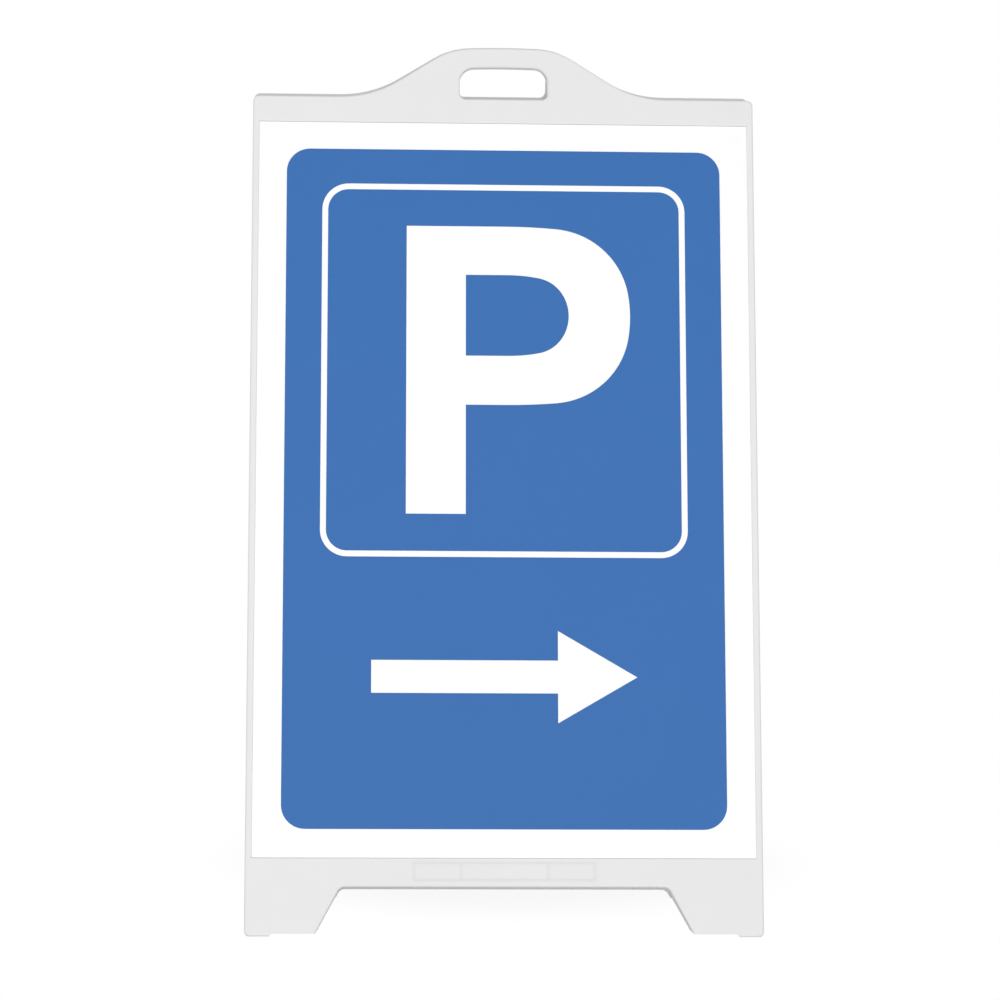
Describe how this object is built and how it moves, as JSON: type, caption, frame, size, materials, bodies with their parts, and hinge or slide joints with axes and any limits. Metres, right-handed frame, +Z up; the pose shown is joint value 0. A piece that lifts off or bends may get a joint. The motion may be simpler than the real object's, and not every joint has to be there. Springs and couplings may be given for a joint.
{
  "type": "folding pavement parking sign",
  "caption": "Folding A-frame pavement sign: moulded panels with hand slots, side rails and feet, holding blue parking boards with a letter, a border line and an arrow.",
  "frame": {"origin": "on the floor, in the middle between the two panels' feet", "axes": "+X to the right of someone who faces the front board, -Y towards them, +Z up"},
  "size_m": [0.6242, 0.7438, 1.0458],
  "materials": {
    "panel_plastic": "light grey moulded polyethylene, fine grain",
    "board_plastic": "white fluted plastic board, smooth skins",
    "blue_print": "blue printed film",
    "white_print": "white printed film",
    "stay_plastic": "grey moulded nylon",
    "steel": "zinc plated"
  },
  "bodies": {
    "front": {"front_panel": "panel_plastic", "front_board": "board_plastic", "front_blue_field": "blue_print", "front_border_line": "white_print", "front_letter": "white_print", "front_arrow": "white_print", "left_hinge_pin": "steel", "left_hinge_nut": "steel", "left_stay_pin": "steel", "left_stay_nut": "steel"},
    "rear": {"rear_panel": "panel_plastic", "rear_board": "board_plastic", "rear_blue_field": "blue_print", "rear_border_line": "white_print", "rear_letter": "white_print", "rear_arrow": "white_print", "right_hinge_pin": "steel", "right_hinge_nut": "steel", "right_stay_pin": "steel", "right_stay_nut": "steel"},
    "left_stay": {"left_stay": "stay_plastic", "left_stay_peg": "steel", "left_peg_nut": "steel"},
    "right_stay": {"right_stay": "stay_plastic", "right_stay_peg": "steel", "right_peg_nut": "steel"}
  },
  "joints": [
    {"name": "top_hinge", "type": "hinge", "parent": "front", "child": "rear", "pos_m": [0, 0, 0.95842], "axis": [-1, 0, 0], "range_deg": [0, 38]},
    {"name": "left_stay_pivot", "type": "hinge", "parent": "front", "child": "left_stay", "pos_m": [-0.2883, -0.09274, 0.72594], "axis": [-1, 0, 0], "range_deg": [0, 76]},
    {"name": "right_stay_pivot", "type": "hinge", "parent": "rear", "child": "right_stay", "pos_m": [0.2883, 0.09274, 0.72594], "axis": [1, 0, 0], "range_deg": [0, 76]}
  ],
  "couplings": [
    {"joint": "left_stay_pivot", "follows": "top_hinge", "ratio": 2},
    {"joint": "right_stay_pivot", "follows": "top_hinge", "ratio": 2}
  ]
}
